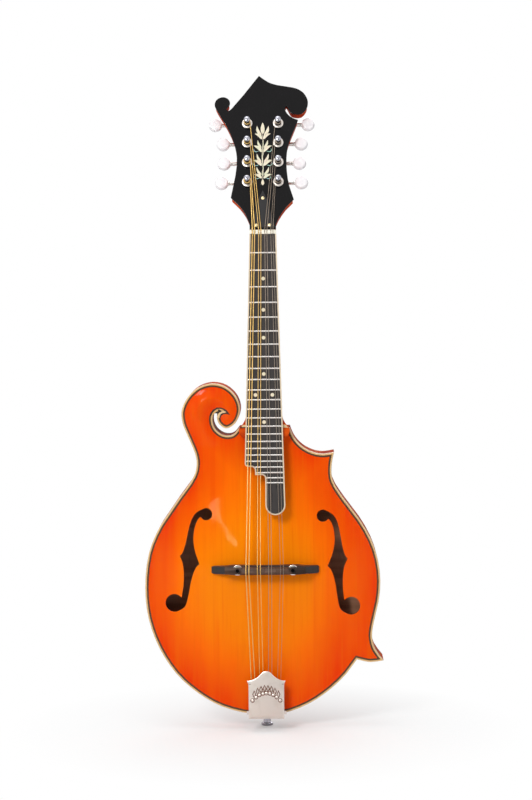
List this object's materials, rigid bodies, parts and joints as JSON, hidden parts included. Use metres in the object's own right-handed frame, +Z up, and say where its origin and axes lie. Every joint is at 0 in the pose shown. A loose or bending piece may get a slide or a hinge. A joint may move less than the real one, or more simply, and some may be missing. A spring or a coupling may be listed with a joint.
{
  "type": "mandolin",
  "caption": "F-style mandolin: carved sunburst body with scroll and f-holes, bound neck, worm-geared tuners, adjustable bridge and a tailpiece with a sliding cover.",
  "frame": {"origin": "centre line of the neck at the nut, level with the plane of the rim's front edge: the place where a hanger's yoke holds the instrument under its peghead", "axes": "+Z up from the end pin to the peghead, +X towards the treble side, -Y out of the sound board to the player's audience; XY plane square to the rim"},
  "size_m": [0.2555, 0.1105, 0.7037],
  "materials": {
    "red_maple": "gloss lacquer over red stain",
    "ebony": "satin",
    "cream_binding": "gloss",
    "bone": "satin",
    "black_gloss": "black gloss lacquer",
    "string_steel": "plain drawn wire",
    "nickel": "polished nickel plate",
    "sunburst_spruce": "gloss lacquer over an amber to red sunburst",
    "bare_maple": "unfinished",
    "bare_spruce": "unfinished",
    "wound_bronze": "wound wire",
    "rosewood": "satin",
    "pearloid": "pearly gloss"
  },
  "bodies": {
    "instrument": {"neck": "red_maple", "fingerboard": "ebony", "fingerboard_binding": "cream_binding", "nut": "bone", "peghead_veneer": "black_gloss", "truss_rod_cover": "black_gloss", "truss_rod": "string_steel", "tuner_plate_bass": "nickel", "tuner_plate_treble": "nickel", "top_plate": "sunburst_spruce", "back_plate": "red_maple", "top_binding": "cream_binding", "back_binding": "cream_binding", "rim": "red_maple", "head_block": "bare_maple", "tail_block": "bare_maple", "tone_bar_bass": "bare_spruce", "tone_bar_treble": "bare_spruce", "bridge_base": "ebony", "bridge_stud_bass": "string_steel", "bridge_stud_treble": "string_steel", "tailpiece_base": "nickel", "end_pin": "nickel", "string_g1": "wound_bronze", "string_g2": "wound_bronze", "string_d1": "wound_bronze", "string_d2": "wound_bronze", "string_a1": "string_steel", "string_a2": "string_steel", "string_e1": "string_steel", "string_e2": "string_steel"},
    "saddle": {"bridge_saddle": "rosewood"},
    "thumbwheel_bass": {"thumbwheel_bass": "nickel"},
    "thumbwheel_treble": {"thumbwheel_treble": "nickel"},
    "tailpiece_cover": {"tailpiece_cover": "nickel"},
    "truss_rod_nut": {"truss_rod_nut": "nickel"},
    "post_g1": {"post_g1": "nickel"},
    "key_g1": {"worm_g1": "nickel", "button_g1": "pearloid"},
    "post_g2": {"post_g2": "nickel"},
    "key_g2": {"worm_g2": "nickel", "button_g2": "pearloid"},
    "post_d1": {"post_d1": "nickel"},
    "key_d1": {"worm_d1": "nickel", "button_d1": "pearloid"},
    "post_d2": {"post_d2": "nickel"},
    "key_d2": {"worm_d2": "nickel", "button_d2": "pearloid"},
    "post_a1": {"post_a1": "nickel"},
    "key_a1": {"worm_a1": "nickel", "button_a1": "pearloid"},
    "post_a2": {"post_a2": "nickel"},
    "key_a2": {"worm_a2": "nickel", "button_a2": "pearloid"},
    "post_e1": {"post_e1": "nickel"},
    "key_e1": {"worm_e1": "nickel", "button_e1": "pearloid"},
    "post_e2": {"post_e2": "nickel"},
    "key_e2": {"worm_e2": "nickel", "button_e2": "pearloid"}
  },
  "joints": [
    {"name": "key_g1_turn", "type": "hinge", "parent": "instrument", "child": "key_g1", "pos_m": [-0.0167, 0.03608, 0.05549], "axis": [1, 0, 0], "continuous": true},
    {"name": "post_g1_turn", "type": "hinge", "parent": "instrument", "child": "post_g1", "pos_m": [-0.0167, 0.01812, 0.05644], "axis": [0, -0.9367, 0.3502], "continuous": true, "deforming": ["string_g1"]},
    {"name": "key_g2_turn", "type": "hinge", "parent": "instrument", "child": "key_g2", "pos_m": [-0.0167, 0.04403, 0.07676], "axis": [1, 0, 0], "continuous": true},
    {"name": "post_g2_turn", "type": "hinge", "parent": "instrument", "child": "post_g2", "pos_m": [-0.0167, 0.02607, 0.0777], "axis": [0, -0.9367, 0.3502], "continuous": true, "deforming": ["string_g2"]},
    {"name": "key_d1_turn", "type": "hinge", "parent": "instrument", "child": "key_d1", "pos_m": [-0.0167, 0.05198, 0.09802], "axis": [1, 0, 0], "continuous": true},
    {"name": "post_d1_turn", "type": "hinge", "parent": "instrument", "child": "post_d1", "pos_m": [-0.0167, 0.03402, 0.09897], "axis": [0, -0.9367, 0.3502], "continuous": true, "deforming": ["string_d1"]},
    {"name": "key_d2_turn", "type": "hinge", "parent": "instrument", "child": "key_d2", "pos_m": [-0.0167, 0.05992, 0.11928], "axis": [1, 0, 0], "continuous": true},
    {"name": "post_d2_turn", "type": "hinge", "parent": "instrument", "child": "post_d2", "pos_m": [-0.0167, 0.04197, 0.12023], "axis": [0, -0.9367, 0.3502], "continuous": true, "deforming": ["string_d2"]},
    {"name": "key_a1_turn", "type": "hinge", "parent": "instrument", "child": "key_a1", "pos_m": [0.0167, 0.05992, 0.11928], "axis": [1, 0, 0], "continuous": true},
    {"name": "post_a1_turn", "type": "hinge", "parent": "instrument", "child": "post_a1", "pos_m": [0.0167, 0.04197, 0.12023], "axis": [0, -0.9367, 0.3502], "continuous": true, "deforming": ["string_a1"]},
    {"name": "key_a2_turn", "type": "hinge", "parent": "instrument", "child": "key_a2", "pos_m": [0.0167, 0.05198, 0.09802], "axis": [1, 0, 0], "continuous": true},
    {"name": "post_a2_turn", "type": "hinge", "parent": "instrument", "child": "post_a2", "pos_m": [0.0167, 0.03402, 0.09897], "axis": [0, -0.9367, 0.3502], "continuous": true, "deforming": ["string_a2"]},
    {"name": "key_e1_turn", "type": "hinge", "parent": "instrument", "child": "key_e1", "pos_m": [0.0167, 0.04403, 0.07676], "axis": [1, 0, 0], "continuous": true},
    {"name": "post_e1_turn", "type": "hinge", "parent": "instrument", "child": "post_e1", "pos_m": [0.0167, 0.02607, 0.0777], "axis": [0, -0.9367, 0.3502], "continuous": true, "deforming": ["string_e1"]},
    {"name": "key_e2_turn", "type": "hinge", "parent": "instrument", "child": "key_e2", "pos_m": [0.0167, 0.03608, 0.05549], "axis": [1, 0, 0], "continuous": true},
    {"name": "post_e2_turn", "type": "hinge", "parent": "instrument", "child": "post_e2", "pos_m": [0.0167, 0.01812, 0.05644], "axis": [0, -0.9367, 0.3502], "continuous": true, "deforming": ["string_e2"]},
    {"name": "thumbwheel_bass_turn", "type": "hinge", "parent": "saddle", "child": "thumbwheel_bass", "pos_m": [-0.0294, 0, -0.3564], "axis": [0, -1, 0], "range_deg": [0, 1080]},
    {"name": "thumbwheel_treble_turn", "type": "hinge", "parent": "saddle", "child": "thumbwheel_treble", "pos_m": [0.0294, 0, -0.3564], "axis": [0, -1, 0], "range_deg": [0, 1080]},
    {"name": "saddle_lift", "type": "slide", "parent": "instrument", "child": "saddle", "axis": [0, -1, 0], "range_m": [0, 0.0024], "deforming": ["string_g1", "string_g2", "string_d1", "string_d2", "string_a1", "string_a2", "string_e1", "string_e2"]},
    {"name": "tailpiece_cover_slide", "type": "slide", "parent": "instrument", "child": "tailpiece_cover", "axis": [0, 0, 1], "range_m": [0, 0.01]},
    {"name": "truss_rod_nut_turn", "type": "hinge", "parent": "instrument", "child": "truss_rod_nut", "pos_m": [0, 0.007, 0.00716], "axis": [0, 0.0785, 0.9969], "range_deg": [-180, 180]}
  ],
  "couplings": [
    {"joint": "post_g1_turn", "follows": "key_g1_turn", "ratio": 0.071429},
    {"joint": "post_g2_turn", "follows": "key_g2_turn", "ratio": 0.071429},
    {"joint": "post_d1_turn", "follows": "key_d1_turn", "ratio": 0.071429},
    {"joint": "post_d2_turn", "follows": "key_d2_turn", "ratio": 0.071429},
    {"joint": "post_a1_turn", "follows": "key_a1_turn", "ratio": 0.071429},
    {"joint": "post_a2_turn", "follows": "key_a2_turn", "ratio": 0.071429},
    {"joint": "post_e1_turn", "follows": "key_e1_turn", "ratio": 0.071429},
    {"joint": "post_e2_turn", "follows": "key_e2_turn", "ratio": 0.071429},
    {"joint": "thumbwheel_bass_turn", "follows": "saddle_lift", "rad_per_m": 7854},
    {"joint": "thumbwheel_treble_turn", "follows": "saddle_lift", "rad_per_m": 7854}
  ]
}
